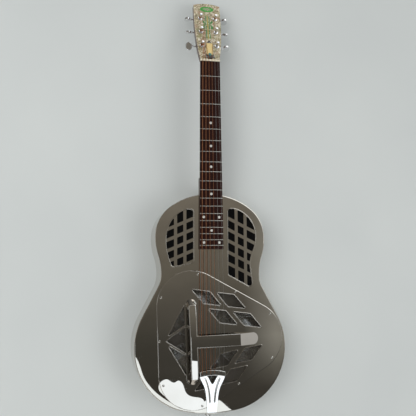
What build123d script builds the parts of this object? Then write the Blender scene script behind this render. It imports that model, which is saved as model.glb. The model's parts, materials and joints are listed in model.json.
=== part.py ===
from build123d import *
from math import acos, atan2, cos, degrees, hypot, pi, radians, sin, sqrt, tan
import os

# Metal-bodied tricone resonator guitar, lying on its back, in millimetres.
# +X is the treble side, +Y runs along the neck to the headstock, +Z points out of the face.
# The origin is on the back plate, on the centreline, below the bridge saddle.

# ---- Driving dimensions -------------------------------------------------------------------

SCALE_LENGTH = 648.0
FRET_COUNT = 19

BODY_DEPTH = 82.0
SHEET = 1.2
SEAM_LIP = 3.0
EDGE_RADIUS = 2.5

BOTTOM_Y = -154.5
LOWER_CENTRE = (31.0, -10.0)
LOWER_RADIUS = 142.0
WAIST_HALF = 114.0
WAIST_Y = 152.0
WAIST_LOW_RADIUS = 61.8
UPPER_HALF = 127.5
UPPER_Y = 236.0
UPPER_LOW_RADIUS = 135.0
UPPER_TOP_RADIUS = 85.0
SHOULDER_ANGLE = 53.13

CONE_SPACING = 148.0
CONE_CENTRE = (0.6, 8.0)
CONE_TILT = 1.7
COVER_RADIUS = 79.5
COVER_THICK = 1.4
WELL_RADIUS = 70.5
WELL_FLOOR = 56.0
CONE_RADIUS = 68.5
CONE_TOP = 78.6
CONE_SHEET = 0.5

SADDLE_Y = 0.5
SADDLE_SPREAD = 52.0
TAIL_SPREAD = 46.0
SADDLE_TOP = BODY_DEPTH + 17.8
HANDREST_TOP = BODY_DEPTH + 24.5
HANDREST_ORIGIN = (-43.8, 4.2)
HANDREST_TILT = 2.0
HANDREST_SHEET = 1.4

NECK_SLOPE = 0.494
NECK_ORIGIN = (0, 324.0, BODY_DEPTH + 9.0)
NUT_Y = SCALE_LENGTH - NECK_ORIGIN[1]
BOARD_THICK = 6.0
BOARD_NUT_WIDTH = 46.0
BOARD_END_WIDTH = 54.6
BOARD_OVERHANG = 8.0
BOARD_CROWN = 400.0
NUT_THICK = 5.0
NUT_SPREAD = 36.0
STRING_LIFT = 1.4

HEAD_TILT = 15.0
HEAD_DROP = 1.5
HEAD_LENGTH = 159.0
HEAD_WOOD = 12.0
OVERLAY_THICK = 1.5
INLAY_THICK = 0.3

STRING_RADII = {1: 0.22, 2: 0.25, 3: 0.35, 4: 0.45, 5: 0.58, 6: 0.70}
WINDING_HEIGHT = 6.4

# Each string's tuner: side of the head (-1 bass, +1 treble), and distance up the head.
TUNERS = {6: (-1, 36.0), 5: (-1, 76.0), 4: (-1, 114.0), 3: (1, 114.0), 2: (1, 76.0), 1: (1, 36.0)}
TUNER_OUT = 18.0
# How far each button stands turned from lying flat, in degrees.
BUTTON_TURN = {6: 30, 5: 119, 4: 112, 3: 88, 2: 125, 1: 88}

POST_RADIUS = 3.0
POST_WAIST = 2.7
POST_HEIGHT = 18.5
SHAFT_DROP = 18.5
GEAR_TEETH = 14
GEAR_MODULE = 1.0
WORM_RADIUS = 3.0
SHAFT_RADIUS = 2.0
RUNNING_GAP = 0.05

TAIL_TOP = BODY_DEPTH + 12.5
TAIL_SHEET = 1.6

# How far a cutting shape runs past the faces that it cuts.
PAST = 5.0

# ---- Frames -------------------------------------------------------------------------------

NECK = Plane(
    origin=NECK_ORIGIN,
    x_dir=(1, 0, 0),
    z_dir=(0, sin(radians(NECK_SLOPE)), cos(radians(NECK_SLOPE))),
)
HEAD = Plane(
    origin=NECK.from_local_coords((0, NUT_Y + NUT_THICK, -HEAD_DROP)),
    x_dir=(1, 0, 0),
    z_dir=(0, sin(radians(HEAD_TILT)), cos(radians(HEAD_TILT))),
)
CONES = Plane.XY.rotated((0, 0, CONE_TILT)).move(Location((*CONE_CENTRE, 0)))
HANDREST = Plane.XY.rotated((0, 0, HANDREST_TILT)).move(Location((*HANDREST_ORIGIN, 0)))


def on(plane, shape):
    """The shape, drawn in plane's own coordinates, moved into the guitar's frame."""
    return plane.location * shape


def block(low, high):
    """A box from its lowest corner to its highest."""
    size = [b - a for a, b in zip(low, high)]
    middle = [(a + b) / 2 for a, b in zip(low, high)]
    return Pos(*middle) * Box(*size)


def drum(radius, low, high, at=(0, 0)):
    """An upright cylinder between two heights."""
    return Pos(at[0], at[1], (low + high) / 2) * Cylinder(radius, high - low)


def slab(face, low, high):
    """A flat face pulled up between two heights."""
    return Pos(0, 0, low) * extrude(face, high - low)


def softened(face, radius):
    """A face with its outward corners rounded."""
    return offset(offset(face, -radius, kind=Kind.INTERSECTION), radius)


def sharp_corners(face):
    """A face's corners, without the points where two of its edges run smoothly on."""
    corners = []
    for corner in face.vertices():
        directions = []
        for edge in face.edges():
            for end in (0, 1):
                if (edge @ end - Vector(*corner)).length < 0.001:
                    directions.append(edge % end)
        if abs(directions[0].cross(directions[1]).Z) > 0.25:
            corners.append(corner)
    return corners


def solids_of(shapes):
    """Separate solids kept side by side in one node."""
    found = []
    for shape in shapes:
        found.extend(shape.solids())
    return Compound(children=found)


# ---- Body shell ---------------------------------------------------------------------------


def arc(centre, radius, start, end):
    """An arc between two angles, in degrees."""
    return CenterArc(centre, radius, start, end - start)


def body_face():
    """The body's outline: tangent arcs round the bouts and the waist, mirrored about the centreline."""
    cx, cy = LOWER_CENTRE
    rise = cy - BOTTOM_Y
    bottom_radius = (cx**2 + rise**2 - LOWER_RADIUS**2) / (2 * (rise - LOWER_RADIUS))
    bottom_centre = (0, BOTTOM_Y + bottom_radius)
    bottom_end = degrees(atan2(cy - bottom_centre[1], cx))

    waist_low = (WAIST_HALF + WAIST_LOW_RADIUS, WAIST_Y)
    dx = waist_low[0] - cx
    dy = waist_low[1] - cy
    flank = degrees(atan2(dy, dx) - acos((LOWER_RADIUS + WAIST_LOW_RADIUS) / hypot(dx, dy)))
    flank_out = (cos(radians(flank)), sin(radians(flank)))
    flank_start = (cx + LOWER_RADIUS * flank_out[0], cy + LOWER_RADIUS * flank_out[1])
    flank_end = (
        waist_low[0] - WAIST_LOW_RADIUS * flank_out[0],
        waist_low[1] - WAIST_LOW_RADIUS * flank_out[1],
    )

    step = UPPER_HALF - WAIST_HALF
    climb = UPPER_Y - WAIST_Y
    waist_top_radius = (step**2 + climb**2) / (2 * step) - UPPER_LOW_RADIUS
    waist_top = (WAIST_HALF + waist_top_radius, WAIST_Y)
    upper_low = (UPPER_HALF - UPPER_LOW_RADIUS, UPPER_Y)
    turn = degrees(atan2(climb, waist_top[0] - upper_low[0]))

    upper_top = (UPPER_HALF - UPPER_TOP_RADIUS, UPPER_Y)
    shoulder = radians(SHOULDER_ANGLE)
    shoulder_point = (
        upper_top[0] + UPPER_TOP_RADIUS * cos(shoulder),
        upper_top[1] + UPPER_TOP_RADIUS * sin(shoulder),
    )
    crown_radius = shoulder_point[0] / cos(shoulder)
    crown = (0, shoulder_point[1] - crown_radius * sin(shoulder))

    half = [
        arc(bottom_centre, bottom_radius, -90, bottom_end),
        arc(LOWER_CENTRE, LOWER_RADIUS, bottom_end, flank),
        Line(flank_start, flank_end),
        arc(waist_low, WAIST_LOW_RADIUS, flank + 180, 180),
        arc(waist_top, waist_top_radius, 180, 180 - turn),
        arc(upper_low, UPPER_LOW_RADIUS, -turn, 0),
        arc(upper_top, UPPER_TOP_RADIUS, 0, SHOULDER_ANGLE),
        arc(crown, crown_radius, SHOULDER_ANGLE, 90),
    ]
    edges = Curve(children=half)
    return make_face(edges.edges() + mirror(edges, about=Plane.YZ).edges())


def cone_centres():
    """The three cone centres: two on the bass side, one on the treble side."""
    reach = CONE_SPACING / sqrt(3)
    places = []
    for angle in (0, 120, 240):
        turned = radians(angle + CONE_TILT)
        places.append((CONE_CENTRE[0] + reach * cos(turned), CONE_CENTRE[1] + reach * sin(turned)))
    return places


def tricone_face(radius):
    """The rounded triangle that wraps circles of that radius round the cone centres."""
    rings = [Pos(*place) * Circle(radius) for place in cone_centres()]
    return make_hull([ring.edge() for ring in rings])


def pan():
    """A shallow pressed plate, flat side up, with a rounded edge and a short rim under it."""
    face = body_face()
    plate = extrude(face, SEAM_LIP)
    top = plate.faces().sort_by(Axis.Z)[-1]
    plate = fillet(top.edges(), EDGE_RADIUS)
    return plate - extrude(offset(face, -SHEET), SEAM_LIP - SHEET)


OPENING_CORNER = 6.0


def bass_sound_opening():
    """The opening in the bass upper bout."""
    shoulder = ThreePointArc((-56, 298), (-86, 277), (-101.4, 240))
    flank = TangentArc((-101.4, 240), (-88.5, 169), tangent=shoulder % 1)
    edges = [
        Line((-41, 178.5), (-41, 298)),
        Line((-41, 298), (-56, 298)),
        shoulder,
        flank,
        Line((-88.5, 169), (-41, 178.5)),
    ]
    face = make_face(edges)
    return fillet(sharp_corners(face.face()), OPENING_CORNER)


def treble_sound_opening():
    """The opening in the treble upper bout, which runs lower beside the coverplate."""
    shoulder = ThreePointArc((54, 301), (89.6, 280), (104.6, 241.5))
    flank = TangentArc((104.6, 241.5), (97.5, 205), tangent=shoulder % 1)
    waist = TangentArc((97.5, 205), (91.6, 160), tangent=flank % 1)
    lobe = TangentArc((91.6, 160), (94.4, 140), tangent=waist % 1)
    corner = lobe @ 1 + (lobe % 1) * 20
    edges = [
        Line((40.5, 151), (40.5, 301)),
        Line((40.5, 301), (54, 301)),
        shoulder,
        flank,
        waist,
        lobe,
        Line(lobe @ 1, corner),
        Line(corner, (40.5, 151)),
    ]
    face = make_face(edges)
    return fillet(sharp_corners(face.face()), OPENING_CORNER)


LATTICE_BAR = 7.2
LATTICE_UPRIGHTS = (59.9, 81.1)


def lattice_cells(opening, side, first, pitch, slope, count):
    """The holes left in an opening by two upright bars and a ladder of slanted ones."""
    bars = []
    for place in LATTICE_UPRIGHTS:
        bars.append(Pos(side * place, 220) * Rectangle(LATTICE_BAR, 220))
    for row in range(count):
        y = first - row * pitch
        bars.append(Pos(side * 70, y) * Rot(0, 0, slope) * Rectangle(120, LATTICE_BAR))
    cells = opening
    for bar in bars:
        cells -= bar
    holes = []
    for cell in cells.faces():
        shortest = min(edge.length for edge in cell.edges())
        corner_radius = min(1.2, shortest * 0.35)
        holes.append(cell.fillet_2d(corner_radius, sharp_corners(cell)))
    return holes


def bass_cells():
    return lattice_cells(bass_sound_opening(), -1, 265.1, 24.1, 23.5, 5)


def treble_cells():
    return lattice_cells(treble_sound_opening(), 1, 265.0, 25.9, -26.6, 5)


def cover_screw_places():
    """Three screws at the middles of the coverplate's sides, and two round each corner."""
    inset = 4.5
    side_reach = CONE_SPACING / sqrt(12) + COVER_RADIUS - inset
    corner_reach = 147.0
    places = []
    for angle in (60, 180, 300):
        places.append(polar(side_reach, angle))
    for corner in (0, 120, 240):
        for swing in (-19.5, 19.5):
            places.append(polar(corner_reach, corner + swing))
    return places


def polar(reach, angle):
    """A point round the middle of the three cones."""
    turned = radians(angle + CONE_TILT)
    return (CONE_CENTRE[0] + reach * cos(turned), CONE_CENTRE[1] + reach * sin(turned))


SCREW_HOLE = 1.3
SMALL_SCREW = 0.85
EAR_SCREW = 1.15
RIM_WIDTH = 2.4
RIM_HEIGHT = 0.9


def raised_rim(face, low, width, height):
    """A rounded bead standing on a plate round an opening."""
    band = slab(offset(face, width) - face, low, low + height)
    top = band.faces().sort_by(Axis.Z)[-1]
    return fillet(top.edges(), height - 0.1)


def body_top():
    plate = Pos(0, 0, BODY_DEPTH - SEAM_LIP) * pan()
    cuts = [slab(tricone_face(WELL_RADIUS), BODY_DEPTH - PAST, BODY_DEPTH + PAST)]
    for cell in bass_cells() + treble_cells():
        cuts.append(slab(cell, BODY_DEPTH - PAST, BODY_DEPTH + PAST))
    for place in cover_screw_places():
        cuts.append(drum(SCREW_HOLE, BODY_DEPTH - PAST, BODY_DEPTH + PAST, place))
    for cut in cuts:
        plate -= cut
    for opening in (bass_sound_opening(), treble_sound_opening()):
        plate += raised_rim(opening, BODY_DEPTH, RIM_WIDTH, RIM_HEIGHT)
    return plate


STICK_HALF = 16.0
STICK_LOW = 24.0
STICK_HIGH = 50.0
END_PIN_Z = 37.0
END_PIN_RADIUS = 3.0


def body_sides():
    face = body_face()
    ring = slab(face - offset(face, -SHEET), SEAM_LIP, BODY_DEPTH - SEAM_LIP)
    stick_hole = block((-STICK_HALF, 320, STICK_LOW), (STICK_HALF, 345, STICK_HIGH))
    pin_hole = Pos(0, BOTTOM_Y, END_PIN_Z) * Rot(90, 0, 0) * Cylinder(END_PIN_RADIUS, 10)
    return ring - stick_hole - pin_hole


def body_back():
    return Pos(0, 0, SEAM_LIP) * Rot(180, 0, 0) * mirror(pan(), about=Plane.XZ)


def lattice_screens():
    """Fine dark screens fixed under the plate behind the two sound openings."""
    top = BODY_DEPTH - SHEET
    screens = []
    for opening in (bass_sound_opening(), treble_sound_opening()):
        screens.append(slab(offset(opening, 4), top - 0.6, top))
    return solids_of(screens)


# ---- Resonator ----------------------------------------------------------------------------


def sound_well():
    """The pressed well that hangs under the top and carries the three cones on its floor."""
    top = BODY_DEPTH - SHEET
    flange = slab(tricone_face(WELL_RADIUS + 4) - tricone_face(WELL_RADIUS), top - SHEET, top)
    for place in cover_screw_places():
        flange -= drum(SCREW_HOLE, top - PAST, top + PAST, place)
    wall = slab(tricone_face(WELL_RADIUS) - tricone_face(WELL_RADIUS - SHEET), WELL_FLOOR - SHEET, top)
    floor = slab(tricone_face(WELL_RADIUS - SHEET), WELL_FLOOR - SHEET, WELL_FLOOR)
    for place in cone_centres():
        floor -= drum(CONE_RADIUS - 4, WELL_FLOOR - PAST, WELL_FLOOR + PAST, place)
    return flange + wall + floor


def cone():
    """A spun cone: flat rim, ring ridges near it, straight flank and a flat button top."""
    rim_in = CONE_RADIUS - 3
    foot = rim_in - 2
    button = 9.0
    ridges = 5
    ridge_span = 22.0
    height = CONE_TOP - WELL_FLOOR
    points = [(CONE_RADIUS, 0), (rim_in, 0)]
    for ridge in range(ridges):
        near = foot - ridge_span * ridge / ridges
        lift = height * (foot - near) / (foot - button)
        points.append((near, lift + 1.6))
        points.append((near - ridge_span / ridges / 2, lift + 1.4))
    points.append((button, height - CONE_SHEET))
    points.append((0, height - CONE_SHEET))
    upper = [(x, z + CONE_SHEET) for x, z in points]
    profile = Polyline(*points, *reversed(upper), close=True)
    return revolve(make_face(Plane.XZ * profile), Axis.Z)


def resonator_cones():
    names = ("cone_treble", "cone_bass_upper", "cone_bass_lower")
    base = cone()
    made = {}
    for name, place in zip(names, cone_centres()):
        made[name] = Pos(place[0], place[1], WELL_FLOOR) * base
    return made


BRIDGE_ARM_TOP = BODY_DEPTH + 7.0
BRIDGE_HALF = 4.0
SADDLE_HALF_THICK = 1.5


def beam(start, end, half_width, low, high):
    """A straight bar between two points on the plan."""
    dx = end[0] - start[0]
    dy = end[1] - start[1]
    centre = ((start[0] + end[0]) / 2, (start[1] + end[1]) / 2)
    face = Pos(*centre) * Rot(0, 0, degrees(atan2(dy, dx))) * Rectangle(hypot(dx, dy), 2 * half_width)
    return slab(face, low, high)


def saddle_blank():
    """The maple saddle: a thin upright blade across the strings."""
    half = SADDLE_SPREAD / 2 + 5
    low = BRIDGE_ARM_TOP - 4
    high = SADDLE_TOP + 1.2
    blade = block((-half, -SADDLE_HALF_THICK, low), (half, SADDLE_HALF_THICK, high))
    blade = fillet(blade.edges().filter_by(Axis.Y).group_by(Axis.Z)[-1], 4)
    return Pos(0, SADDLE_Y, 0) * Rot(0, 0, HANDREST_TILT) * blade


def t_bridge():
    """The cast T that joins the three cone tops, with a slot for the saddle."""
    treble, upper, lower = cone_centres()
    junction = ((upper[0] + lower[0]) / 2, SADDLE_Y - 1.5)
    low = BODY_DEPTH - 1
    bar = beam(upper, lower, BRIDGE_HALF, low, BRIDGE_ARM_TOP - 1)
    stem = beam(junction, (40, SADDLE_Y + 1.4), BRIDGE_HALF, low, BRIDGE_ARM_TOP)
    tip = beam((36, SADDLE_Y + 1.2), treble, BRIDGE_HALF, low, BRIDGE_ARM_TOP - 1)
    bridge = bar + stem + tip
    for place in (treble, upper, lower):
        bridge += drum(6, CONE_TOP, BRIDGE_ARM_TOP - 1, place)
    return bridge - saddle_blank()


GRILLE_LONG = 37.3
GRILLE_SHORT = 14.5
GRILLE_STEP = 53.6
GRILLE_RISE = 20.5
GRILLE_REACH = 75.1


def rhombus(long_half, short_half):
    return make_face(
        Polyline((-long_half, 0), (0, -short_half), (long_half, 0), (0, short_half), close=True)
    )


def treble_grilles():
    """Two clusters of four diamonds, beside the handrest stem towards the neck and the tail."""
    grilles = []
    for side in (60, -60):
        for along, across in ((-1, 0), (0, 1), (0, -1), (1, 0)):
            place = Pos(GRILLE_REACH, 0) * Rot(0, 0, 90) * Pos(along * GRILLE_STEP, across * GRILLE_RISE)
            shape = softened(rhombus(GRILLE_LONG, GRILLE_SHORT), 0.8)
            grilles.append(on(CONES, Rot(0, 0, side) * place * shape))
    return grilles


def bass_grilles():
    """Three panels fanned out from under the handrest's crossbar."""
    edge_x = -59.5
    middle = Polyline((-102.5, 0), (edge_x, 27.5), (edge_x, -27.5), close=True)
    upper = Polyline((-97.5, 11), (edge_x, 77), (edge_x, 34), close=True)
    panels = []
    for outline in (middle, upper, mirror(upper, about=Plane.XZ)):
        panels.append(on(CONES, softened(make_face(outline.edges()), 0.8)))
    return panels


BEAD_WIDTH = 1.8
BEAD_HEIGHT = 0.7


def coverplate():
    face = tricone_face(COVER_RADIUS)
    high = BODY_DEPTH + COVER_THICK
    plate = slab(face, BODY_DEPTH, high)
    plate = fillet(plate.faces().sort_by(Axis.Z)[-1].edges(), COVER_THICK - 0.1)
    grilles = treble_grilles() + bass_grilles()
    for grille in grilles:
        plate += raised_rim(grille, high, BEAD_WIDTH, BEAD_HEIGHT)
    for grille in grilles:
        plate -= slab(grille, BODY_DEPTH - 1, high + 2)
    for place in cover_screw_places():
        plate -= drum(SCREW_HOLE, BODY_DEPTH - 1, high + 1, place)
    bar_slot = block((-8, -88, BODY_DEPTH - 1), (9.5, 88, high + 2))
    stem_slot = block((0, -10, BODY_DEPTH - 1), (142, 13, high + 2))
    seat = slab(crossbar_foot(FLANGE_WIDTH + 0.05), high, high + 2) + slab(stem_plan(-0.05), high, high + 2)
    return plate - on(HANDREST, bar_slot + stem_slot + seat)


def coverplate_screens():
    """Woven screens fixed behind the coverplate's grilles."""
    margin = 2.2
    sheets = None
    for grille in treble_grilles() + bass_grilles():
        sheet = slab(offset(grille, margin), BODY_DEPTH - 0.6, BODY_DEPTH)
        sheets = sheet if sheets is None else sheets + sheet
    return solids_of([sheets])


def oval_screw(shank, head, height, length):
    """A countersunk-style screw with a low domed, slotted head; its seat is at height 0."""
    bulge = (head**2 + height**2) / (2 * height)
    cap = Pos(0, 0, height - bulge) * Sphere(bulge)
    cap = cap & drum(head, 0, height)
    slot = Pos(0, 0, height) * Box(2 * head, 0.6, height)
    return cap - slot + drum(shank, -length, 0)


def coverplate_screws():
    high = BODY_DEPTH + COVER_THICK
    base = oval_screw(1.15, 2.7, 1.3, 6)
    screws = []
    for index, place in enumerate(cover_screw_places()):
        screws.append(Pos(place[0], place[1], high) * Rot(0, 0, 40 * index) * base)
    return solids_of(screws)


# The handrest cover is a T in its own frame: crossbar along y, stem along x.
BAR_BASE_HALF = 12.8
BAR_TOP_HALF = 7.7
BAR_BASE_LENGTH = 94.0
BAR_TOP_LENGTH = 78.5
STEM_HALF = 13.2
STEM_FLAT_END = 105.5
STEM_FOOT_END = 152.0
STEM_WINDOW = (15.5, 99.0)
BAR_EDGE = 2.2
STEM_EDGE = 1.2
BAR_CROWN = 900.0
FLANGE_WIDTH = 2.5


def crossbar_foot(margin):
    """The stadium at the crossbar's foot, grown or shrunk by a margin."""
    return SlotOverall(2 * (BAR_BASE_LENGTH + margin), 2 * (BAR_BASE_HALF + margin), rotation=90)


def crowned(shape, height):
    """The shape cut to the gentle crown that the crossbar's top has along its length."""
    return shape & Pos(0, 0, height - BAR_CROWN) * Rot(0, 90, 0) * Cylinder(BAR_CROWN, 400)


def crossbar_solid(shrink, height):
    """The crossbar's hump: a stadium at the foot, drawn in to a narrow flat top."""
    foot = crossbar_foot(-shrink)
    top = RectangleRounded(2 * (BAR_TOP_HALF - shrink), 2 * (BAR_TOP_LENGTH - shrink), 2.5 - shrink)
    base = BODY_DEPTH + COVER_THICK
    return loft([Pos(0, 0, base) * foot, Pos(0, 0, height) * top])


def stem_plan(shrink):
    """The stem from above: straight sides and a round end."""
    half = STEM_HALF - shrink
    foot_end = STEM_FOOT_END - shrink
    return make_face(
        [
            Line((0, -half), (foot_end - half, -half)),
            ThreePointArc((foot_end - half, -half), (foot_end, 0), (foot_end - half, half)),
            Line((foot_end - half, half), (0, half)),
            Line((0, half), (0, -half)),
        ]
    )


def stem_solid(shrink, height):
    """The stem: flat over the strings, then a ramp down to a round foot past the treble side."""
    half = STEM_HALF - shrink
    foot_end = STEM_FOOT_END - shrink
    base = BODY_DEPTH + COVER_THICK
    side = make_face(
        Plane.XZ
        * Polyline((0, base), (foot_end, base), (STEM_FLAT_END - shrink, height), (0, height), close=True)
    )
    profile = Pos(0, 2 * half, 0) * extrude(side, 4 * half)
    return slab(stem_plan(shrink), base, height) & profile


def bridge_cover():
    """A hollow T: closed crossbar over the bass cones, open strap over the strings."""
    inside = HANDREST_TOP - HANDREST_SHEET
    base = BODY_DEPTH + COVER_THICK
    bar = crowned(crossbar_solid(0, HANDREST_TOP), HANDREST_TOP)
    bar = fillet(bar.faces().sort_by(Axis.Z)[-1].edges(), BAR_EDGE)
    stem = crowned(stem_solid(0, HANDREST_TOP), HANDREST_TOP)
    rims = stem.faces().sort_by(Axis.Z)[-1].edges().filter_by(Axis.X)
    outer = bar + fillet(rims, STEM_EDGE)
    flange = slab(crossbar_foot(FLANGE_WIDTH), base, base + 0.8)
    inner = crowned(crossbar_solid(HANDREST_SHEET, inside) + stem_solid(HANDREST_SHEET, inside), inside)
    inner += slab(crossbar_foot(-HANDREST_SHEET), base - 1, base + 0.2)
    low, far = STEM_WINDOW
    window = block((low, -40, base - 1), (far, 40, HANDREST_TOP - 4.2))
    return on(HANDREST, outer + flange - inner - window)


# ---- Neck ---------------------------------------------------------------------------------

NECK_FIRST_DEPTH = 21.0
NECK_HEEL_DEPTH = 24.0
NECK_HEEL_Y = 48.0
HEEL_LOW = 12.0


def board_width(y):
    """Fretboard width at a distance up the neck frame."""
    end = fret_y(FRET_COUNT)
    return BOARD_NUT_WIDTH + (BOARD_END_WIDTH - BOARD_NUT_WIDTH) * (NUT_Y - y) / (NUT_Y - end)


def fret_y(number):
    """A fret's place in the neck frame, whose origin is over the twelfth fret."""
    return SCALE_LENGTH * 2 ** (-number / 12) - NECK_ORIGIN[1]


def crown():
    """The long cylinder whose top gives the fretboard its gentle crown."""
    length = 1200
    return Pos(0, 0, -BOARD_CROWN) * Rot(90, 0, 0) * Cylinder(BOARD_CROWN, length)


def taper(low, high, bottom, top):
    """A block that follows the fretboard's taper between two places on the neck."""
    outline = Polyline(
        (-board_width(low) / 2, low),
        (board_width(low) / 2, low),
        (board_width(high) / 2, high),
        (-board_width(high) / 2, high),
        close=True,
    )
    return slab(make_face(outline), bottom, top)


DOT_RADIUS = 3.0
DOT_DEPTH = 1.2
DOUBLE_DOT = 17.8


def dots():
    """Pearl discs between the frets: single on the centreline, double at the last two places."""
    made = []
    for number in (5, 7, 9, 12, 15, 17, 19):
        y = (fret_y(number) + fret_y(number - 1)) / 2
        sides = (-DOUBLE_DOT, DOUBLE_DOT) if number in (15, 19) else (0,)
        for x in sides:
            made.append(drum(DOT_RADIUS, -DOT_DEPTH, 2, (x, y)) & crown())
    return made


def position_dots():
    return on(NECK, solids_of(dots()))


def fretboard():
    end = fret_y(FRET_COUNT) - BOARD_OVERHANG
    board = taper(end, NUT_Y, -BOARD_THICK, 2) & crown()
    for dot in dots():
        board -= dot
    return on(NECK, board)


def frets():
    """Each fret is a half-round wire that follows the crown from edge to edge."""
    wire_half = 1.2
    wire_height = 1.0
    wires = []
    for number in range(1, FRET_COUNT + 1):
        y = fret_y(number)
        reach = degrees(board_width(y) / 2 / BOARD_CROWN)
        section = Pos(y, 0) * make_face(
            [
                ThreePointArc((-wire_half, 0), (0, wire_height), (wire_half, 0)),
                Line((wire_half, 0), (-wire_half, 0)),
            ]
        )
        hinge = Axis((0, 0, -BOARD_CROWN), (0, 1, 0))
        wire = revolve(Plane.YZ * section, hinge, 2 * reach)
        wires.append(wire.rotate(hinge, -reach))
    return on(NECK, solids_of(wires))


def nut_blank():
    half = BOARD_NUT_WIDTH / 2
    profile = make_face(
        Plane.YZ
        * Polyline(
            (NUT_Y, -BOARD_THICK),
            (NUT_Y + NUT_THICK, -BOARD_THICK),
            (NUT_Y + NUT_THICK, 0.6),
            (NUT_Y + 1.6, 2.4),
            (NUT_Y, 2.4),
            close=True,
        )
    )
    return on(NECK, Pos(-half, 0, 0) * extrude(profile, 2 * half, dir=(1, 0, 0)))


def head_face():
    """The headstock's outline in its own plane: flared sides and a gently arched top."""
    side = Spline((22.5, 0), (27.6, 30), (30.3, 58), (32.4, 112), (31.9, 153.5))
    arch = ThreePointArc((31.9, 153.5), (0, HEAD_LENGTH), (-31.9, 153.5))
    foot = Line((-22.5, 0), (22.5, 0))
    return make_face([side, arch, mirror(side, about=Plane.YZ).edge(), foot])


BUSH_OUTER = 4.6
ROD_RADIUS = 2.2
ROD_DROP = 12.0
ROD_START = 16.0
ROD_NUT_START = NUT_Y + 8
ROD_NUT_RADIUS = 3.6
POCKET_HALF = 5.5
POCKET_LENGTH = 34.0


def post_places():
    return [(side * TUNER_OUT, up) for side, up in TUNERS.values()]


def rod_pocket():
    """The pocket under the truss-rod cover, where the rod's nut is reached."""
    return block((-POCKET_HALF, -8, -OVERLAY_THICK - 11.0), (POCKET_HALF, POCKET_LENGTH, 1))


def neck_section(y, depth):
    """The back of the neck across one place: half an ellipse under the fretboard."""
    half = board_width(y) / 2
    curve = EllipticalCenterArc((0, 0), half, depth - BOARD_THICK, start_angle=180, arc_size=180)
    face = make_face([curve, Line((half, 0), (-half, 0))])
    return Plane(origin=(0, y, -BOARD_THICK), x_dir=(1, 0, 0), z_dir=(0, -1, 0)) * face


def heel_section(height, half, reach):
    """The heel across one height: flat against the body, round in front."""
    start = 310.0
    front = EllipticalCenterArc((0, start), half, reach, start_angle=0, arc_size=180)
    face = make_face([front, Line((-half, start), (half, start))])
    return Pos(0, 0, height) * face


def neck():
    """One piece of mahogany: tongue on the body, heel, shaft and headstock."""
    end = fret_y(FRET_COUNT) - BOARD_OVERHANG
    at_head = neck_section(NUT_Y + 34, NECK_FIRST_DEPTH - 0.6)
    at_heel = neck_section(-30, NECK_HEEL_DEPTH + 0.8)
    shaft = loft([at_head, at_heel])
    tongue = taper(end, NECK_HEEL_Y, -20, -BOARD_THICK)
    wood = on(NECK, shaft + tongue)
    heel = loft(
        [
            heel_section(HEEL_LOW, 17.0, 42),
            heel_section(32, 20.0, 45),
            heel_section(54, 23.5, 53),
            heel_section(74, 25.6, 82),
        ]
    )
    wood += heel
    wood -= slab(body_face(), -10, BODY_DEPTH)
    wood -= on(HEAD, block((-60, 0, -OVERLAY_THICK), (60, 80, 40)))
    wood -= on(NECK, block((-60, NUT_Y, -BOARD_THICK), (60, NUT_Y + NUT_THICK + 12, 20)))
    head = slab(head_face(), -OVERLAY_THICK - HEAD_WOOD, -OVERLAY_THICK)
    wood += on(HEAD, head) - nut_blank()
    for place in post_places():
        wood -= on(HEAD, drum(BUSH_OUTER, CUP_TOP - 25, 5, place))
    wood -= on(HEAD, rod_pocket())
    channel = lengthwise_drum(ROD_RADIUS + 0.4, ROD_START - 2, ROD_NUT_START)
    key_way = lengthwise_drum(ROD_NUT_RADIUS + 0.4, ROD_NUT_START - 1, ROD_NUT_START + 28)
    wood -= on(NECK, channel + key_way) + nut_blank()
    for x, y in rod_cover_screw_places():
        wood -= on(HEAD, drum(SMALL_SCREW, -8, 2, (x, y)))
    for string in TUNERS:
        side, place = tuner_frame(string)
        for x, y in EAR_PLACES:
            wood -= place * drum(EAR_SCREW, CUP_TOP - 2, CUP_TOP + 9, (x, y))
    return wood


def neck_stick():
    """The square stick inside the body, from the heel to the tail."""
    start = BOTTOM_Y + SHEET
    stick = block((-STICK_HALF, start - 5, STICK_LOW), (STICK_HALF, 345, STICK_HIGH))
    stick = stick & slab(offset(body_face(), -SHEET), 0, BODY_DEPTH)
    joint = block((-STICK_HALF, 325, STICK_LOW), (STICK_HALF, 345, STICK_HIGH))
    joint = joint & slab(body_face(), 0, BODY_DEPTH)
    pin_hole = Pos(0, BOTTOM_Y + 10, END_PIN_Z) * Rot(90, 0, 0) * Cylinder(END_PIN_RADIUS, 30)
    return stick + joint - pin_hole


def headstock_overlay():
    """The pearl-plastic sheet on the headstock's face."""
    sheet = slab(head_face(), -OVERLAY_THICK, 0)
    for place in post_places():
        sheet -= drum(BUSH_OUTER, -5, 5, place)
    sheet -= rod_pocket()
    for x, y in rod_cover_screw_places():
        sheet -= drum(SMALL_SCREW, -8, 2, (x, y))
    return on(HEAD, sheet) - nut_blank()


def mirrored_pair(shape):
    return [shape, mirror(shape, about=Plane.YZ)]


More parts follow.
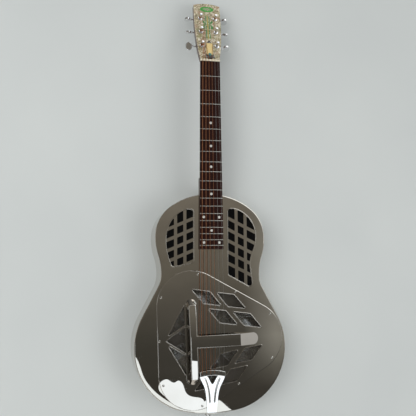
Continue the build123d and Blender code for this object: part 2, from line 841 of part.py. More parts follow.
def headstock_inlays():
    """Thin painted ornaments: a centre spine, side lines, a spread of leaves and a crossbar."""
    faces = [Pos(0, 91) * RectangleRounded(2.4, 68, 1.1), Pos(0, 98) * RectangleRounded(23, 1.9, 0.8)]
    for low, high in ((58, 82), (85, 95.5), (100.5, 123)):
        faces += mirrored_pair(Pos(4.0, (low + high) / 2) * RectangleRounded(2.3, high - low, 1.0))
    leaf = make_face(
        [
            ThreePointArc((6.2, 100.3), (11.4, 103.4), (11.6, 110.0)),
            ThreePointArc((11.6, 110.0), (7.4, 106.6), (6.2, 100.3)),
        ]
    )
    drop = make_face(
        [
            ThreePointArc((6.8, 96.0), (7.6, 90.5), (7.8, 84.5)),
            ThreePointArc((7.8, 84.5), (13.4, 91.0), (6.8, 96.0)),
        ]
    )
    faces += mirrored_pair(leaf) + mirrored_pair(drop)
    return on(HEAD, solids_of([slab(face, 0, INLAY_THICK) for face in faces]))


def badge_oval():
    """A plain oval badge near the tip."""
    return on(HEAD, slab(Pos(0, 142.5) * Ellipse(16.3, 7.4), 0, 0.5))


COVER_LOW = 3.5
COVER_HIGH = 47.0
COVER_HALF = 9.0


def rod_cover_face():
    """The truss-rod cover's outline: a round-topped bell with a small pointed tip."""
    half = COVER_HALF
    foot = COVER_HALF + 2.8
    low = COVER_LOW
    tip = COVER_HIGH + 4
    side = Spline((foot, low), (half, low + 8), (half, COVER_HIGH - 12))
    shoulder = ThreePointArc(side @ 1, (half * 0.76, COVER_HIGH - 6), (1.6, tip))
    ends = [Line((-foot, low), (foot, low)), Line((1.6, tip), (-1.6, tip))]
    flanks = mirrored_pair(side) + mirrored_pair(shoulder)
    return make_face(ends + [flank.edge() for flank in flanks])


def rod_cover_screw_places():
    return [(-8.2, COVER_LOW + 3.0), (8.2, COVER_LOW + 3.0), (0, COVER_HIGH - 1.0)]


def truss_rod_cover():
    """The dark base plate of the cover."""
    plate = slab(rod_cover_face(), 0, 1.2)
    for place in rod_cover_screw_places():
        plate -= drum(SMALL_SCREW, -1, 4, place)
    return on(HEAD, plate)


def truss_cover_face():
    """The cream plate laid on the dark one, with a stepped ornament cut into its foot."""
    top = COVER_HIGH - 3.0
    low = COVER_LOW + 8.0
    plate = slab(Pos(0, (low + top) / 2) * RectangleRounded(2 * COVER_HALF - 2.4, top - low, 3.5), 1.2, 2.0)
    diamond = Pos(0, low + 1.5) * Rot(0, 0, 45) * Rectangle(6.4, 6.4)
    return on(HEAD, plate - slab(diamond, 0, 5))


def truss_cover_ornament():
    """A small stepped diamond filling the notch in the cream plate."""
    low = COVER_LOW + 8.0
    diamond = Pos(0, low + 1.5) * Rot(0, 0, 45) * Rectangle(6.2, 6.2)
    return on(HEAD, slab(diamond, 1.2, 2.2))


def truss_cover_screws():
    base = oval_screw(SMALL_SCREW, 1.7, 0.8, 5)
    screws = [Pos(x, y, 1.2) * base for x, y in rod_cover_screw_places()]
    return on(HEAD, solids_of(screws))


def lengthwise_drum(radius, low, high):
    """A cylinder along the neck at the rod's depth, between two distances from the neck's foot."""
    return Pos(0, (low + high) / 2, -ROD_DROP) * Rot(90, 0, 0) * Cylinder(radius, high - low)


def truss_rod():
    """The steel rod in its channel, threaded into the nut at the headstock end."""
    return on(NECK, lengthwise_drum(ROD_RADIUS, ROD_START, ROD_NUT_START + 9))


def truss_rod_nut():
    """A round nut with a hexagonal key socket, turned to set the neck's relief."""
    body = lengthwise_drum(ROD_NUT_RADIUS, ROD_NUT_START, ROD_NUT_START + 20)
    bore = lengthwise_drum(ROD_RADIUS + RUNNING_GAP, ROD_NUT_START - 1, ROD_NUT_START + 12)
    key = Pos(0, ROD_NUT_START + 12, -ROD_DROP) * Rot(-90, 0, 0) * extrude(RegularPolygon(2.5, 6), 10)
    return on(NECK, body - bore - key)


# ---- Tuners -------------------------------------------------------------------------------

CUP_HALF = 9.5
CUP_WALL = 1.2
CUP_TOP = -OVERLAY_THICK - HEAD_WOOD
CUP_LOW = CUP_TOP - 11.0
CUP_FAR = 16.0
GEAR_RADIUS = GEAR_TEETH * GEAR_MODULE / 2
WORM_Y = GEAR_RADIUS + WORM_RADIUS
THREAD_PITCH = pi * GEAR_MODULE
WORM_SPAN = 4 * THREAD_PITCH
EAR_PLACES = ((0, -13.0), (0, 19.5))
EAR_HALF = 3.4
EAR_THICK = 1.8
STUB_RADIUS = 1.2
SHAFT_END = 21.6


def tuner_frame(string):
    """Where a string's tuner stands on the head; bass-side tuners are mirror images."""
    side, up = TUNERS[string]
    return side, HEAD.location * Pos(side * TUNER_OUT, up, 0)


def each_tuner(base):
    """The same piece at all six tuners, as separate solids in one node."""
    flipped = mirror(base, about=Plane.YZ)
    pieces = []
    for string in TUNERS:
        side, place = tuner_frame(string)
        pieces.append(place * (base if side > 0 else flipped))
    return solids_of(pieces)


def crosswise_drum(radius, middle, length):
    """A cylinder on the button shaft's axis, in a treble-side tuner."""
    return Pos(middle, WORM_Y, -SHAFT_DROP) * Rot(0, 90, 0) * Cylinder(radius, length)


def tuner_housing():
    """A cast cup screwed to the head's back, open towards the wood, with two ears."""
    outer = block((-CUP_HALF, -CUP_HALF, CUP_LOW), (CUP_HALF, CUP_FAR, CUP_TOP))
    outer = fillet(outer.edges().filter_by(Axis.Z), 3)
    outer = fillet(outer.faces().sort_by(Axis.Z)[0].edges(), 1.5)
    inner = block(
        (-CUP_HALF + CUP_WALL, -CUP_HALF + CUP_WALL, CUP_LOW + CUP_WALL),
        (CUP_HALF - CUP_WALL, CUP_FAR - CUP_WALL, CUP_TOP),
    )
    inner = fillet(inner.edges().filter_by(Axis.Z), 1.5)
    cup = outer
    for x, y in EAR_PLACES:
        ear_low = CUP_TOP - EAR_THICK
        cup += drum(EAR_HALF, ear_low, CUP_TOP, (x, y))
        cup += block((-EAR_HALF, min(y, 0), ear_low), (EAR_HALF, max(y, 0), CUP_TOP))
        cup -= drum(EAR_SCREW + 0.1, ear_low - 2, CUP_TOP + 1, (x, y))
    cup -= inner
    outlet = crosswise_drum(SHAFT_RADIUS + RUNNING_GAP, CUP_HALF, 6)
    collar = crosswise_drum(SHAFT_RADIUS + 1.2, CUP_HALF + 1, 2.4)
    pivot = crosswise_drum(STUB_RADIUS + RUNNING_GAP, -CUP_HALF, 6)
    return cup + collar - outlet - pivot


def tuner_screws():
    base = Rot(180, 0, 0) * oval_screw(EAR_SCREW, 2.2, 1.0, 9)
    pair = None
    for x, y in EAR_PLACES:
        screw = Pos(x, y, CUP_TOP - EAR_THICK) * base
        pair = screw if pair is None else pair + screw
    return each_tuner(pair)


def tuner_bushing():
    """A flanged sleeve that carries the post through the head."""
    flange = drum(5.8, 0, 2.4)
    flange = fillet(flange.edges().sort_by(Axis.Z)[-1], 1.1)
    sleeve = drum(BUSH_OUTER, -11, 0)
    return flange + sleeve - drum(POST_RADIUS + RUNNING_GAP, -13, 3)


def post_profile():
    """Half of the post's outline, from the collar in the gear cup to the domed top."""
    low = -SHAFT_DROP - 2.6
    return make_face(
        Plane.XZ
        * Polyline(
            (0, low),
            (POST_RADIUS - 0.5, low),
            (POST_RADIUS - 0.5, -SHAFT_DROP + 2),
            (POST_RADIUS, -SHAFT_DROP + 2),
            (POST_RADIUS, 3.2),
            (POST_WAIST, 5.0),
            (POST_WAIST, 12.5),
            (POST_RADIUS + 0.3, 15.0),
            (POST_RADIUS + 0.3, POST_HEIGHT - 0.8),
            (POST_RADIUS - 0.5, POST_HEIGHT),
            (0, POST_HEIGHT),
            close=True,
        )
    )


def tapered_tooth(low, high, low_half, high_half):
    """A straight-sided tooth that points along +X, narrowing to its crest."""
    corners = [(low, -low_half), (high, -high_half), (high, high_half), (low, low_half)]
    return make_face(Polyline(*corners, close=True))


def gear_wheel():
    """The worm wheel: narrow straight teeth, set so a gap faces the worm's thread."""
    root = GEAR_RADIUS - 1.0
    wheel = drum(root, -2, 2)
    for tooth in range(GEAR_TEETH):
        angle = 90 + 360 / GEAR_TEETH * (tooth + 0.5)
        tooth_face = tapered_tooth(root - 0.6, root + 1.75, 0.75, 0.35)
        wheel += Rot(0, 0, angle) * slab(tooth_face, -2, 2)
    return Pos(0, 0, -SHAFT_DROP) * wheel


def tuner_post():
    post = revolve(post_profile(), Axis.Z)
    hole = Pos(0, 0, 13.5) * Rot(90, 0, 0) * Cylinder(1.0, 12)
    return post - hole + gear_wheel()


def worm():
    """The worm on its shaft: a helical thread with a crest facing the wheel at rest."""
    core = WORM_RADIUS - 1.0
    path = Helix(THREAD_PITCH, WORM_SPAN, core, (0, 0, -WORM_SPAN / 2))
    section = Plane.XZ * tapered_tooth(core - 0.3, core + 1.7, 0.62, 0.28)
    thread = sweep(Pos(0, 0, -WORM_SPAN / 2) * section, path=path, is_frenet=True)
    thread = thread & drum(core + 1.6, -6.0, 6.0)
    return Rot(0, 90, 0) * Rot(0, 0, -90) * thread


def kidney_face():
    """The button seen flat: broad rounded shoulders and a slightly waisted root."""
    edges = [
        Spline((20.2, -3.4), (22.2, -8.0), (27.4, -10.0), (32.8, -7.6), (35.0, 0)),
        Spline((35.0, 0), (32.8, 7.6), (27.4, 10.0), (22.2, 8.0), (20.2, 3.4)),
        Line((20.2, 3.4), (20.2, -3.4)),
    ]
    return make_face(edges)


def button_shaft():
    """The shaft from its pivot stub, through the worm's core, to the collar under the button."""
    collar = 3.1
    outline = Polyline(
        (-9.4, 0),
        (-9.4, STUB_RADIUS),
        (-6.8, STUB_RADIUS),
        (-6.8, SHAFT_RADIUS),
        (16.6, SHAFT_RADIUS),
        (17.4, collar),
        (19.8, collar),
        (SHAFT_END, SHAFT_RADIUS),
        (SHAFT_END, 0),
        close=True,
    )
    return revolve(make_face(outline), Axis.X)


def tuner_button(turn):
    """Shaft, worm and button in one: the piece that the fingers turn."""
    paddle = slab(kidney_face(), -3.1, 3.1)
    faces = paddle.faces().sort_by(Axis.Z)
    paddle = fillet(faces[0].edges() + faces[-1].edges(), 2.0)
    turned = button_shaft() + worm() + Rot(turn, 0, 0) * paddle
    return Pos(0, WORM_Y, -SHAFT_DROP) * turned


# ---- Strings ------------------------------------------------------------------------------


def spread(string, width):
    """A string's place across the guitar: string 6 on the bass side, 1 on the treble side."""
    return width / 2 - (string - 1) * width / 5


def head_point(u, v, height):
    return HEAD.from_local_coords((u, v, height))


def string_path(string):
    """The string's route: tailpiece, saddle, nut, then most of a turn round its post."""
    radius = STRING_RADII[string]
    side, up = TUNERS[string]
    tail_x = spread(string, TAIL_SPREAD)
    saddle_x = spread(string, SADDLE_SPREAD)
    nut_x = spread(string, NUT_SPREAD)
    saddle_y = SADDLE_Y + saddle_x * tan(radians(HANDREST_TILT))
    over_tail = TAIL_TOP + radius + 0.03

    reach = POST_WAIST + radius + 0.06
    post = Vector(side * TUNER_OUT, up)
    nut = Vector(nut_x, -3)
    away = nut - post
    facing = atan2(away.Y, away.X) - side * acos(reach / away.length)
    touch = post + Vector(reach * cos(facing), reach * sin(facing))
    along = (touch - nut).normalized()
    before = touch - along * 7

    def around(turned):
        angle = facing - side * radians(turned)
        return head_point(post.X + reach * cos(angle), post.Y + reach * sin(angle), WINDING_HEIGHT)

    nut_top = NECK.from_local_coords((nut_x, NUT_Y + 1.0, STRING_LIFT + radius))
    run = FilletPolyline(
        (tail_x, TAIL_STRING_Y, BALL_Z),
        (tail_x, TAIL_STRING_Y + 1.5, over_tail),
        (saddle_x, saddle_y, SADDLE_TOP),
        nut_top,
        head_point(before.X, before.Y, WINDING_HEIGHT),
        head_point(touch.X, touch.Y, WINDING_HEIGHT),
        radius=[1.2, 6, 6, 12],
    )
    wrap = ThreePointArc(around(0), around(130), around(255))
    return run + wrap


TAIL_STRING_Y = -66.5
BALL_Z = TAIL_TOP - 7.4


def string_tube(string, extra=0.0):
    """A round wire of the string's gauge along its route."""
    path = string_path(string)
    radius = STRING_RADII[string] + extra
    section = Plane(origin=path @ 0, z_dir=path % 0) * Circle(radius)
    return sweep(section, path=path)


def guitar_string(string):
    """One string and the ball that holds it behind the tailpiece."""
    ball_x = spread(string, TAIL_SPREAD)
    ball = Pos(ball_x, TAIL_STRING_Y, BALL_Z) * Rot(0, 90, 0) * Cylinder(1.9, 3.2)
    return string_tube(string) + ball


def string_winding(string):
    """The turns already on the post, just above where the string comes in."""
    radius = STRING_RADII[string]
    reach = POST_WAIST + radius - 0.02
    first = WINDING_HEIGHT + 2 * radius + 0.08
    turns = 4 if radius < 0.4 else 3
    rings = None
    for turn in range(turns):
        ring = Pos(0, 0, first + turn * 1.86 * radius) * Torus(reach, radius)
        rings = ring if rings is None else rings + ring
    rings -= revolve(post_profile(), Axis.Z)
    side, place = tuner_frame(string)
    return place * rings


# ---- Nut, saddle and tailpiece ------------------------------------------------------------


def nut():
    blank = nut_blank()
    for string, radius in STRING_RADII.items():
        x = spread(string, NUT_SPREAD)
        gap = radius + 0.05
        front = block((x - gap, NUT_Y - 2, STRING_LIFT + radius), (x + gap, NUT_Y + 1.5, 9))
        back = block((x - gap, NUT_Y + 1, radius + 0.55), (x + gap, NUT_Y + 9, 9))
        blank -= on(NECK, front + back) + string_tube(string, 0.05)
    return blank


def saddle():
    blade = saddle_blank()
    for string, radius in STRING_RADII.items():
        x = spread(string, SADDLE_SPREAD)
        gap = radius + 0.05
        blade -= block((x - gap, -20, SADDLE_TOP - radius - 0.05), (x + gap, 20, SADDLE_TOP + 9))
    return blade


TAIL_HALF = 28.8


def tailpiece_plan():
    """The tailpiece from above: a Y whose legs run into one strap to the tail."""
    outer = Spline((TAIL_HALF, -71.5), (26.2, -79), (17.8, -96.5), (13.4, -116), (11.2, -140), (9.2, -170))
    notch = Spline((13.5, -71.5), (7.2, -80), (0, -90), (-7.2, -80), (-13.5, -71.5))
    return make_face(
        [
            outer,
            Line((TAIL_HALF, -71.5), (13.5, -71.5)),
            notch,
            Line((-13.5, -71.5), (-TAIL_HALF, -71.5)),
            mirror(outer, about=Plane.YZ).edge(),
            Line((-9.2, -170), (9.2, -170)),
        ]
    )


TAIL_FRONT_Y = -59.0
TAIL_BEAM_LOW = TAIL_TOP - 4.5


def tailpiece_beam():
    """The arched beam that the strings pass over, drilled for their ends."""
    plan = make_face(
        [
            ThreePointArc((-TAIL_HALF, -63.5), (0, TAIL_FRONT_Y), (TAIL_HALF, -63.5)),
            Line((TAIL_HALF, -63.5), (TAIL_HALF, -74.5)),
            ThreePointArc((TAIL_HALF, -74.5), (0, -71.0), (-TAIL_HALF, -74.5)),
            Line((-TAIL_HALF, -74.5), (-TAIL_HALF, -63.5)),
        ]
    )
    beam_solid = slab(plan, TAIL_BEAM_LOW, TAIL_TOP)
    beam_solid = fillet(beam_solid.edges().filter_by(Axis.Z), 2)
    return fillet(beam_solid.faces().sort_by(Axis.Z)[-1].edges(), 1.2)


RIB_WIDTH = 3.2
RIB_HEIGHT = 0.9


def tailpiece_ribs(strap):
    """Two rounded ribs pressed up along the legs, drawn on the plane of the strap's first run."""
    line = Spline((17.5, -7), (9.6, -26), (6.4, -43), (5.2, -63))
    rib = extrude(trace(line, RIB_WIDTH), TAIL_SHEET / 2 + RIB_HEIGHT)
    rib = fillet(rib.faces().sort_by(Axis.Z)[-1].edges(), 0.8)
    slope = Plane(origin=strap @ 0, x_dir=(1, 0, 0), z_dir=(strap % 0).cross(Vector(1, 0, 0)))
    return [on(slope, half) for half in mirrored_pair(rib)]


def tailpiece_strap():
    """A bent strap: it slopes to the tail, turns over the body's edge and hangs down the side."""
    clear = BOTTOM_Y - 0.2
    path = FilletPolyline(
        (0, -69.0, TAIL_BEAM_LOW + 1.4),
        (0, -142.0, BODY_DEPTH + 2.6),
        (0, clear - TAIL_SHEET / 2, BODY_DEPTH + 0.6),
        (0, clear - TAIL_SHEET / 2, 26.0),
        radius=[20, 4],
    )
    section = Plane(origin=path @ 0, x_dir=(1, 0, 0), z_dir=path % 0) * Rectangle(70, TAIL_SHEET)
    band = sweep(section, path=path)
    band = band & slab(tailpiece_plan(), 0, BODY_DEPTH + 30)
    for rib in tailpiece_ribs(path):
        band += rib
    end_round = block((-20, BOTTOM_Y - 5, 20), (20, BOTTOM_Y + 1, END_PIN_Z)) - (
        Pos(0, BOTTOM_Y, END_PIN_Z) * Rot(90, 0, 0) * Cylinder(9.2, 20)
    )
    pin_hole = Pos(0, BOTTOM_Y, END_PIN_Z) * Rot(90, 0, 0) * Cylinder(END_PIN_RADIUS, 20)
    return band - end_round - pin_hole


def tailpiece():
    shape = tailpiece_beam() + tailpiece_strap()
    for string, radius in STRING_RADII.items():
        x = spread(string, TAIL_SPREAD)
        gap = radius + 0.2
        back = TAIL_STRING_Y - 1.2
        front = TAIL_STRING_Y + 2.0 + gap
        shape -= block((x - gap, back, TAIL_BEAM_LOW - PAST), (x + gap, front, TAIL_TOP + PAST))
    return shape


def end_pin():
    """The strap button that holds the tailpiece to the tail end of the neck stick."""
    seat = BOTTOM_Y - 0.2 - TAIL_SHEET
    shank = [(0, 16), (END_PIN_RADIUS, 16), (END_PIN_RADIUS, 0)]
    waist = [(6.2, 0), (6.2, -1.2), (4.2, -3.0), (3.8, -6.0)]
    knob = [(7.4, -9.5), (7.4, -11.0), (5.5, -12.5), (0, -13.0)]
    profile = make_face(Polyline(*shank, *waist, *knob, close=True))
    turned = revolve(profile, Axis.Y)
    return Pos(0, seat, END_PIN_Z) * turned


# ---- Assembly -----------------------------------------------------------------------------


def build_nodes():
    nodes = {
        "body_top": body_top(),
        "body_sides": body_sides(),
        "body_back": body_back(),
        "lattice_screens": lattice_screens(),
        "sound_well": sound_well(),
        "t_bridge": t_bridge(),
        "saddle": saddle(),
        "coverplate": coverplate(),
        "coverplate_screens": coverplate_screens(),
        "coverplate_screws": coverplate_screws(),
        "bridge_cover": bridge_cover(),
        "neck": neck(),
        "neck_stick": neck_stick(),
        "fretboard": fretboard(),
        "frets": frets(),
        "position_dots": position_dots(),
        "nut": nut(),
        "headstock_overlay": headstock_overlay(),
        "headstock_inlays": headstock_inlays(),
        "badge_oval": badge_oval(),
        "truss_rod_cover": truss_rod_cover(),
        "truss_cover_face": truss_cover_face(),
        "truss_cover_ornament": truss_cover_ornament(),
        "truss_cover_screws": truss_cover_screws(),
        "truss_rod": truss_rod(),
        "truss_rod_nut": truss_rod_nut(),
        "tuner_housings": each_tuner(tuner_housing()),
        "tuner_bushings": each_tuner(tuner_bushing()),
        "tuner_screws": tuner_screws(),
        "tailpiece": tailpiece(),
        "end_pin": end_pin(),
    }
    nodes.update(resonator_cones())
    post = tuner_post()
    flipped_post = mirror(post, about=Plane.YZ)
    for string in TUNERS:
        side, place = tuner_frame(string)
        button = tuner_button(BUTTON_TURN[string])
        if side < 0:
            button = mirror(button, about=Plane.YZ)
        nodes[f"tuner_button_{string}"] = place * button
        nodes[f"tuner_post_{string}"] = place * (post if side > 0 else flipped_post)
        nodes[f"string_winding_{string}"] = string_winding(string)
        nodes[f"string_{string}"] = guitar_string(string)
    return nodes


if __name__ == "__main__":
    os.makedirs("parts", exist_ok=True)
    for node, solid in build_nodes().items():
        export_step(solid, f"parts/{node}.step")
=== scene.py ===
import bmesh
import bpy
import json
import math
from mathutils import Matrix, Vector
from mathutils.bvhtree import BVHTree
from mathutils.geometry import interpolate_bezier

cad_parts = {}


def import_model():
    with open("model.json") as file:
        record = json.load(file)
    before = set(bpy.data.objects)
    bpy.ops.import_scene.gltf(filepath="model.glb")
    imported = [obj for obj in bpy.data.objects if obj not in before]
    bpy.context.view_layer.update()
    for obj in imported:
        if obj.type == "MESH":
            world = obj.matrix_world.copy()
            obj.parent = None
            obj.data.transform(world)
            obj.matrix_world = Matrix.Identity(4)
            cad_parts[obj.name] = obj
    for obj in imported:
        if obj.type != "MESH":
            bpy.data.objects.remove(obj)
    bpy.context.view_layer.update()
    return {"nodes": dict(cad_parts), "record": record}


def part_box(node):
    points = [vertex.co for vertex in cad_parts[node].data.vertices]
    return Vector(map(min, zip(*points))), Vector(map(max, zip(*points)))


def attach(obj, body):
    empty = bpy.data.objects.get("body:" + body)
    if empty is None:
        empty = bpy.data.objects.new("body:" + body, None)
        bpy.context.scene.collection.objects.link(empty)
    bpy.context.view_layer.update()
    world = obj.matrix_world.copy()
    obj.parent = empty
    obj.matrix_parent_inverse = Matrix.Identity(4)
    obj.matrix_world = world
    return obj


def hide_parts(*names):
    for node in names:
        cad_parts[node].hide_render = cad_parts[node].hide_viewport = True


# A metal-bodied resonator guitar on its back: a finish for each CAD piece, woven wire in the
# coverplate's openings, round beads on the tailpiece, and the studio round it. Metres.

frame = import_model()
nodes = frame["nodes"]
slot_of = {row["node"]: row["material_slot"] for row in frame["record"]["subparts"]}
DOWN = Vector((0, 0, -1))


def link(name, data):
    """A new object in the scene, of a mesh, curve, light or camera."""
    made = bpy.data.objects.new(name, data)
    bpy.context.collection.objects.link(made)
    return made


# ---- Shader helpers -----------------------------------------------------------------------

# The Mix node's sockets when it mixes colours.
MIX_SHARE, MIX_FIRST, MIX_SECOND, MIX_RESULT = 0, 6, 7, 2


def material(name, **sockets):
    """A new Principled material; sockets are its constant inputs."""
    made = bpy.data.materials.new(name)
    made.use_nodes = True
    shader = made.node_tree.nodes["Principled BSDF"]
    for socket, value in sockets.items():
        shader.inputs[socket.replace("_", " ")].default_value = value
    return made, made.node_tree, shader


def add(tree, kind, inputs=None, **settings):
    """A shader node with its settings; each input is a number, a colour or another node's output."""
    made = tree.nodes.new("ShaderNode" + kind)
    for name, value in settings.items():
        setattr(made, name, value)
    for key, value in (inputs or {}).items():
        if isinstance(value, bpy.types.NodeSocket):
            tree.links.new(value, made.inputs[key])
        else:
            made.inputs[key].default_value = value
    return made


def place(tree, scale=(1, 1, 1), rotation=(0, 0, 0), shift=(0, 0, 0)):
    """Object coordinates, stretched, turned and shifted."""
    where = add(tree, "TexCoord").outputs["Object"]
    inputs = {"Vector": where, "Scale": scale, "Rotation": rotation, "Location": shift}
    return add(tree, "Mapping", inputs).outputs[0]


def noise(tree, where, scale, detail=2.0, roughness=0.5, distortion=0.0):
    """Cloudy noise from 0 to 1, with about scale cells to the metre."""
    inputs = {
        "Vector": where,
        "Scale": scale,
        "Detail": detail,
        "Roughness": roughness,
        "Distortion": distortion,
    }
    return add(tree, "TexNoise", inputs).outputs["Fac"]


def remap(tree, value, low, high, to_low, to_high):
    """The stretch from low to high, moved to the stretch from to_low to to_high and held there."""
    inputs = {"Value": value, 1: low, 2: high, 3: to_low, 4: to_high}
    return add(tree, "MapRange", inputs).outputs[0]


def ramp(tree, value, stops):
    """A colour ramp; stops are (place, colour)."""
    made = add(tree, "ValToRGB", {"Fac": value})
    points = made.color_ramp.elements
    while len(points) < len(stops):
        points.new(0.5)
    for point, (at, colour) in zip(points, stops):
        point.position = at
        point.color = (*colour, 1)
    return made.outputs["Color"]


def mix(tree, share, first, second):
    """Two colours mixed; share is how much of the second."""
    made = add(tree, "Mix", data_type="RGBA")
    for key, value in ((MIX_SHARE, share), (MIX_FIRST, first), (MIX_SECOND, second)):
        if isinstance(value, bpy.types.NodeSocket):
            tree.links.new(value, made.inputs[key])
        elif key == MIX_SHARE:
            made.inputs[key].default_value = value
        else:
            made.inputs[key].default_value = (*value, 1)
    return made.outputs[MIX_RESULT]


def maths(tree, operation, first, second=0.0):
    """One arithmetic step on one or two numbers."""
    return add(tree, "Math", {0: first, 1: second}, operation=operation).outputs[0]


def bands(tree, where, scale, direction):
    """Even stripes across one axis."""
    inputs = {"Vector": where, "Scale": scale}
    return add(tree, "TexWave", inputs, bands_direction=direction).outputs["Fac"]


def set_up(tree, shader, socket, output):
    """Links an output to one of the shader's sockets."""
    tree.links.new(output, shader.inputs[socket])


def set_mottle(tree, shader, pattern, first, second):
    """Two tones of the surface's colour, mixed by a pattern."""
    set_up(tree, shader, "Base Color", mix(tree, pattern, first, second))


def set_gloss(tree, shader, pattern, smooth, dull):
    """Roughness that drifts between two values with a noise pattern."""
    set_up(tree, shader, "Roughness", remap(tree, pattern, 0.3, 0.7, smooth, dull))


def set_bump(tree, shader, height, depth):
    """Relief of the given depth in metres."""
    inputs = {"Height": height, "Distance": depth, "Strength": 1.0}
    set_up(tree, shader, "Normal", add(tree, "Bump", inputs).outputs[0])


def shade_of(colour, share):
    """The same colour, darker."""
    return tuple(part * share for part in colour)


# ---- Materials ----------------------------------------------------------------------------


def plated(name, colour, tarnish, smooth=0.004, dull=0.03):
    """Polished plate: a slow tint change, with smudges and fine wiping lines in its gloss."""
    made, tree, shader = material(name, Metallic=1.0)
    where = place(tree)
    cloud = remap(tree, noise(tree, where, 14, detail=4), 0.35, 0.75, 0, 1)
    wiped = noise(tree, place(tree, (900, 120, 900), rotation=(0, 0, 0.5)), 1)
    tone = mix(tree, cloud, colour, tarnish)
    set_mottle(tree, shader, maths(tree, "MULTIPLY", wiped, 0.12), tone, tarnish)
    smudge = noise(tree, where, 45, detail=5, roughness=0.6)
    set_up(tree, shader, "Roughness", remap(tree, smudge, 0.45, 0.8, smooth, dull))
    return made


def cast_metal(name, colour, rough, grain=700):
    """Unpolished metal with a fine grain."""
    made, tree, shader = material(name, Metallic=1.0)
    where = place(tree)
    set_mottle(tree, shader, noise(tree, where, 60, detail=3), colour, shade_of(colour, 0.8))
    set_gloss(tree, shader, noise(tree, where, 120, detail=4), rough, rough + 0.15)
    set_bump(tree, shader, noise(tree, where, grain, detail=3), 0.00008)
    return made


def wood(name, dark, light, scale, rough, pores=0.00005, coat=0.25, gloss=0.5):
    """Straight-grained wood: long streaks with fine pores along the grain."""
    made, tree, shader = material(name, Coat_Weight=coat, Coat_Roughness=0.2, Specular_IOR_Level=gloss)
    # Along the grain the streaks are about 22 times as long as they are wide, and the pores 32 times.
    where = place(tree, (scale, scale * 0.045, scale))
    streak = noise(tree, where, 1, detail=5, roughness=0.6, distortion=0.6)
    fine = noise(tree, place(tree, (scale * 8, scale * 0.25, scale * 8)), 1, detail=3, roughness=0.6)
    grain = maths(tree, "ADD", maths(tree, "MULTIPLY", streak, 0.7), maths(tree, "MULTIPLY", fine, 0.3))
    set_up(tree, shader, "Base Color", ramp(tree, grain, ((0.3, dark), (0.52, light), (0.7, dark))))
    set_gloss(tree, shader, fine, rough, rough + 0.15)
    set_bump(tree, shader, fine, pores)
    return made


def pearloid():
    """Swirled pearl sheet: cream flakes between tan and olive veins, with touches of pink."""
    made, tree, shader = material("pearloid", Coat_Weight=0.6, Coat_Roughness=0.12, Roughness=0.35)
    where = place(tree)
    warp = maths(tree, "MULTIPLY", noise(tree, where, 60, detail=3, roughness=0.6, distortion=1.5), 0.02)
    bent = add(tree, "VectorMath", {0: where, 1: warp}, operation="ADD").outputs[0]
    cells = {"Vector": bent, "Scale": 105}
    flakes = add(tree, "TexVoronoi", cells, feature="DISTANCE_TO_EDGE").outputs["Distance"]
    swirl = noise(tree, bent, 125, detail=5, roughness=0.7, distortion=2.0)
    height = maths(tree, "ADD", swirl, maths(tree, "MULTIPLY", flakes, 0.45))
    stops = (
        (0.42, (0.11, 0.08, 0.035)),
        (0.50, (0.33, 0.26, 0.13)),
        (0.59, (0.58, 0.49, 0.32)),
        (0.70, (0.86, 0.82, 0.66)),
    )
    base = ramp(tree, height, stops)
    tint = noise(tree, where, 75, distortion=1.0)
    pink = mix(tree, remap(tree, tint, 0.57, 0.70, 0, 0.5), base, (0.46, 0.22, 0.13))
    set_mottle(tree, shader, remap(tree, tint, 0.30, 0.44, 0.55, 0), pink, (0.24, 0.26, 0.08))
    set_bump(tree, shader, swirl, 0.00005)
    return made


def lacquer(name, first, second, scale, rough=0.25):
    """Glossy painted or plastic trim with a little mottling."""
    made, tree, shader = material(name, Coat_Weight=0.5, Coat_Roughness=0.1)
    where = place(tree)
    set_mottle(tree, shader, noise(tree, where, scale, detail=4, roughness=0.6), first, second)
    set_gloss(tree, shader, noise(tree, where, 300, detail=3), rough, rough + 0.15)
    return made


def inlay():
    """Gold along the centreline, green beside it."""
    made, tree, shader = material("gold_inlay", Roughness=0.35, Coat_Weight=0.5)
    where = place(tree)
    across = add(tree, "SeparateXYZ", {"Vector": where}).outputs["X"]
    beside = remap(tree, maths(tree, "ABSOLUTE", across), 0.0018, 0.0026, 0, 1)
    colour = mix(tree, beside, (0.66, 0.38, 0.01), (0.01, 0.22, 0.06))
    set_mottle(tree, shader, noise(tree, where, 350, detail=3), colour, (0.10, 0.24, 0.03))
    return made


def badge():
    """Green enamel round a paler, mottled middle."""
    made, tree, shader = material("green_badge", Roughness=0.3, Coat_Weight=0.5, Coat_Roughness=0.1)
    low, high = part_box("badge_oval")
    middle = (low + high) / 2
    half = (high - low) / 2
    scale = (1 / half.x, 1 / half.y, 0)
    shift = (-middle.x / half.x, -middle.y / half.y, 0)
    from_middle = {0: place(tree, scale, shift=shift)}
    inside = add(tree, "VectorMath", from_middle, operation="LENGTH").outputs["Value"]
    rim = remap(tree, inside, 0.45, 0.72, 0, 1)
    fleck = noise(tree, place(tree), 420, detail=3, roughness=0.7)
    pale = mix(tree, remap(tree, fleck, 0.4, 0.6, 0, 1), (0.10, 0.33, 0.08), (0.48, 0.36, 0.28))
    green = mix(tree, fleck, (0.01, 0.26, 0.01), (0.04, 0.42, 0.04))
    set_mottle(tree, shader, rim, pale, green)
    return made


def string_wire(name, colour, rough, turns=0):
    """String wire; a wound string has fine turns across its length."""
    made, tree, shader = material(name, Metallic=1.0)
    where = place(tree)
    set_mottle(tree, shader, noise(tree, where, 90, detail=3), colour, shade_of(colour, 0.75))
    set_gloss(tree, shader, noise(tree, where, 300), rough, rough + 0.12)
    if turns:
        set_bump(tree, shader, bands(tree, where, turns, "Y"), 0.00006)
    return made


